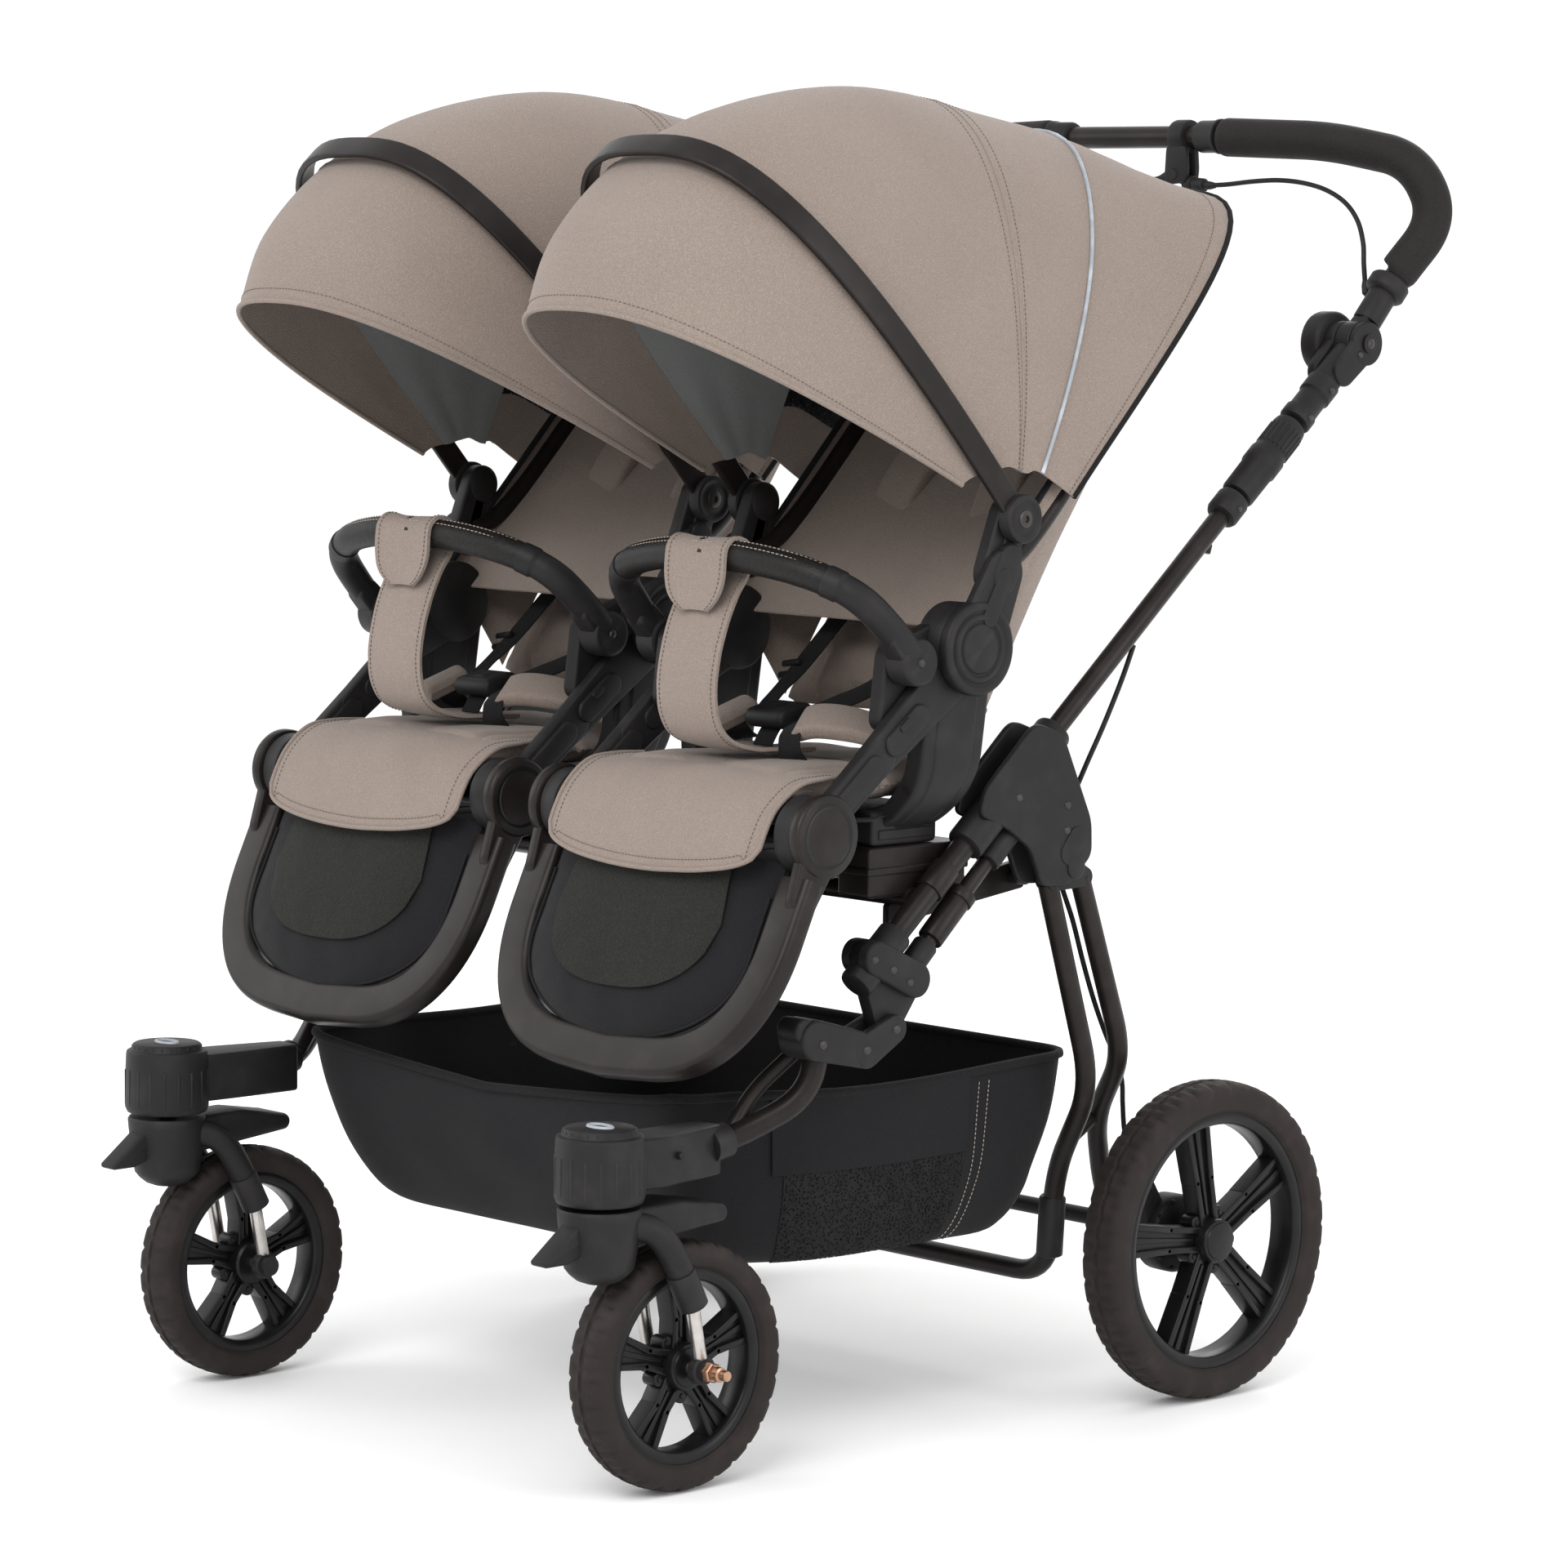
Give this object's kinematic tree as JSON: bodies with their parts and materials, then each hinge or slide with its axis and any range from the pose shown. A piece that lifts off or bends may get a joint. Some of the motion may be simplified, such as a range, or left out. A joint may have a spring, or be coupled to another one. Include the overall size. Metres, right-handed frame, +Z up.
{
  "type": "twin pushchair",
  "caption": "Side-by-side pushchair with reclining seats, folding hoods, leg rests, a fabric basket, swivel front casters, larger rear wheels and a push bar with a hand brake.",
  "frame": {"origin": "on the floor, under the middle of the whole object's box", "axes": "+Z up, -Y the way it rolls, +X the occupants' left"},
  "size_m": [0.77, 1.0869, 1.215],
  "materials": {
    "frame_satin": "dark brown-black satin powder coat on metal tube",
    "moulded_black": "fine-grained moulded plastic",
    "leatherette": "black imitation leather with two rows of pale stitching",
    "grip_foam": "soft foam with a pebbled skin",
    "tyre_rubber": "dark brown-black rubber with a block tread",
    "rim_gloss": "black wheel plastic with glossy recesses",
    "cloth_beige": "taupe woven cloth with a light melange",
    "cloth_black": "black woven cloth",
    "mesh_black": "open black mesh",
    "lining_grey": "pale grey lining cloth",
    "piping_grey": "silver-grey reflective piping",
    "cable_black": "black cable sheath",
    "bare_metal": "bright screws, rivets and fork rods"
  },
  "bodies": {
    "chassis": {"front_tube_left": "frame_satin", "front_tube_right": "frame_satin", "lock_rod_left": "frame_satin", "lock_rod_right": "frame_satin", "side_bracket_left": "moulded_black", "side_bracket_right": "moulded_black", "fold_joint_left": "moulded_black", "fold_joint_right": "moulded_black", "push_tube_left": "frame_satin", "push_tube_right": "frame_satin", "seat_carrier": "frame_satin", "basket": "cloth_black", "brake_cable_middle": "cable_black", "seat_frame_left": "moulded_black", "seat_frame_right": "moulded_black", "seat_cushion_left": "cloth_beige", "seat_cushion_right": "cloth_beige"},
    "rear_legs": {"rear_frame": "frame_satin", "rear_axle": "moulded_black", "brake_cable_foot": "cable_black"},
    "front_legs": {"front_leg_left": "frame_satin", "front_leg_right": "frame_satin", "caster_housing_left": "moulded_black", "caster_housing_right": "moulded_black"},
    "caster_left": {"fork_left": "moulded_black"},
    "caster_right": {"fork_right": "moulded_black"},
    "front_wheel_left": {"front_tyre_left": "tyre_rubber", "front_rim_left": "rim_gloss"},
    "front_wheel_right": {"front_tyre_right": "tyre_rubber", "front_rim_right": "rim_gloss"},
    "rear_wheel_left": {"rear_tyre_left": "tyre_rubber", "rear_rim_left": "rim_gloss"},
    "rear_wheel_right": {"rear_tyre_right": "tyre_rubber", "rear_rim_right": "rim_gloss"},
    "sleeve_left": {"twist_sleeve_left": "moulded_black"},
    "sleeve_right": {"twist_sleeve_right": "moulded_black"},
    "handle_posts": {"handle_post_left": "moulded_black", "handle_post_right": "moulded_black"},
    "handle": {"handle_tube": "frame_satin", "grip_left": "grip_foam", "grip_right": "grip_foam", "brake_clamp": "moulded_black", "brake_cable_top": "cable_black"},
    "button_left": {"swivel_button_left": "moulded_black"},
    "button_right": {"swivel_button_right": "moulded_black"},
    "lever": {"brake_lever": "moulded_black"},
    "backrest_left": {"back_frame_left": "moulded_black", "back_cushion_left": "cloth_beige", "canopy_left": "cloth_beige"},
    "backrest_right": {"back_frame_right": "moulded_black", "back_cushion_right": "cloth_beige", "canopy_right": "cloth_beige"},
    "bow_left": {"canopy_bow_left": "moulded_black"},
    "bow_right": {"canopy_bow_right": "moulded_black"},
    "bumper_left": {"bumper_bar_left": "leatherette"},
    "bumper_right": {"bumper_bar_right": "leatherette"},
    "leg_rest_left": {"leg_rest_frame_left": "moulded_black", "leg_rest_pad_left": "cloth_black"},
    "leg_rest_right": {"leg_rest_frame_right": "moulded_black", "leg_rest_pad_right": "cloth_black"}
  },
  "joints": [
    {"name": "rear_leg_fold", "type": "hinge", "parent": "chassis", "child": "rear_legs", "pos_m": [0, 0.0516, 0.515], "axis": [1, 0, 0], "range_deg": [-50, 0], "deforming": ["basket"]},
    {"name": "front_leg_fold", "type": "hinge", "parent": "chassis", "child": "front_legs", "pos_m": [0, -0.1744, 0.388], "axis": [1, 0, 0], "range_deg": [0, 20]},
    {"name": "caster_swivel_left", "type": "hinge", "parent": "front_legs", "child": "caster_left", "pos_m": [0.304, -0.4744, 0.26], "axis": [0, 0, 1], "continuous": true},
    {"name": "caster_swivel_right", "type": "hinge", "parent": "front_legs", "child": "caster_right", "pos_m": [-0.304, -0.4744, 0.26], "axis": [0, 0, 1], "continuous": true},
    {"name": "front_wheel_roll_left", "type": "hinge", "parent": "caster_left", "child": "front_wheel_left", "pos_m": [0.304, -0.3854, 0.11], "axis": [1, 0, 0], "continuous": true},
    {"name": "front_wheel_roll_right", "type": "hinge", "parent": "caster_right", "child": "front_wheel_right", "pos_m": [-0.304, -0.3854, 0.11], "axis": [1, 0, 0], "continuous": true},
    {"name": "rear_wheel_roll_left", "type": "hinge", "parent": "rear_legs", "child": "rear_wheel_left", "pos_m": [0.356, 0.2386, 0.15], "axis": [1, 0, 0], "continuous": true},
    {"name": "rear_wheel_roll_right", "type": "hinge", "parent": "rear_legs", "child": "rear_wheel_right", "pos_m": [-0.356, 0.2386, 0.15], "axis": [1, 0, 0], "continuous": true},
    {"name": "handle_height", "type": "slide", "parent": "chassis", "child": "handle_posts", "axis": [0, 0.7615, 0.6481], "range_m": [0, 0.1]},
    {"name": "sleeve_twist_left", "type": "hinge", "parent": "chassis", "child": "sleeve_left", "pos_m": [0.34, 0.3177, 0.8761], "axis": [0, 0.7615, 0.6481], "range_deg": [0, 60]},
    {"name": "sleeve_twist_right", "type": "hinge", "parent": "chassis", "child": "sleeve_right", "pos_m": [-0.34, 0.3177, 0.8761], "axis": [0, 0.7615, 0.6481], "range_deg": [0, 60]},
    {"name": "handle_swivel", "type": "hinge", "parent": "handle_posts", "child": "handle", "pos_m": [0, 0.4456, 0.985], "axis": [1, 0, 0], "range_deg": [-50, 25]},
    {"name": "swivel_press_left", "type": "slide", "parent": "handle_posts", "child": "button_left", "axis": [1, 0, 0], "range_m": [0, 0.004], "stiffness_N_per_m": 800},
    {"name": "swivel_press_right", "type": "slide", "parent": "handle_posts", "child": "button_right", "axis": [-1, 0, 0], "range_m": [0, 0.004], "stiffness_N_per_m": 800},
    {"name": "brake_pull", "type": "hinge", "parent": "handle", "child": "lever", "pos_m": [0.062, 0.5006, 1.146], "axis": [0, 1, 0], "range_deg": [0, 11], "stiffness_Nm_per_rad": 1},
    {"name": "recline_left", "type": "hinge", "parent": "chassis", "child": "backrest_left", "pos_m": [0.202, -0.0974, 0.721], "axis": [1, 0, 0], "range_deg": [-20, 8]},
    {"name": "recline_right", "type": "hinge", "parent": "chassis", "child": "backrest_right", "pos_m": [-0.202, -0.0974, 0.721], "axis": [1, 0, 0], "range_deg": [-20, 8]},
    {"name": "canopy_fold_left", "type": "hinge", "parent": "backrest_left", "child": "bow_left", "pos_m": [0.202, -0.0484, 0.834], "axis": [1, 0, 0], "range_deg": [-55, 0], "deforming": ["canopy_left"]},
    {"name": "canopy_fold_right", "type": "hinge", "parent": "backrest_right", "child": "bow_right", "pos_m": [-0.202, -0.0484, 0.834], "axis": [1, 0, 0], "range_deg": [-55, 0], "deforming": ["canopy_right"]},
    {"name": "bumper_swing_left", "type": "hinge", "parent": "chassis", "child": "bumper_left", "pos_m": [0.202, -0.1694, 0.712], "axis": [1, 0, 0], "range_deg": [-30, 45]},
    {"name": "bumper_swing_right", "type": "hinge", "parent": "chassis", "child": "bumper_right", "pos_m": [-0.202, -0.1694, 0.712], "axis": [1, 0, 0], "range_deg": [-30, 45]},
    {"name": "leg_rest_lift_left", "type": "hinge", "parent": "chassis", "child": "leg_rest_left", "pos_m": [0.202, -0.2814, 0.567], "axis": [1, 0, 0], "range_deg": [-60, 0]},
    {"name": "leg_rest_lift_right", "type": "hinge", "parent": "chassis", "child": "leg_rest_right", "pos_m": [-0.202, -0.2814, 0.567], "axis": [1, 0, 0], "range_deg": [-60, 0]}
  ],
  "couplings": [
    {"joint": "front_leg_fold", "follows": "rear_leg_fold", "ratio": -0.4}
  ]
}
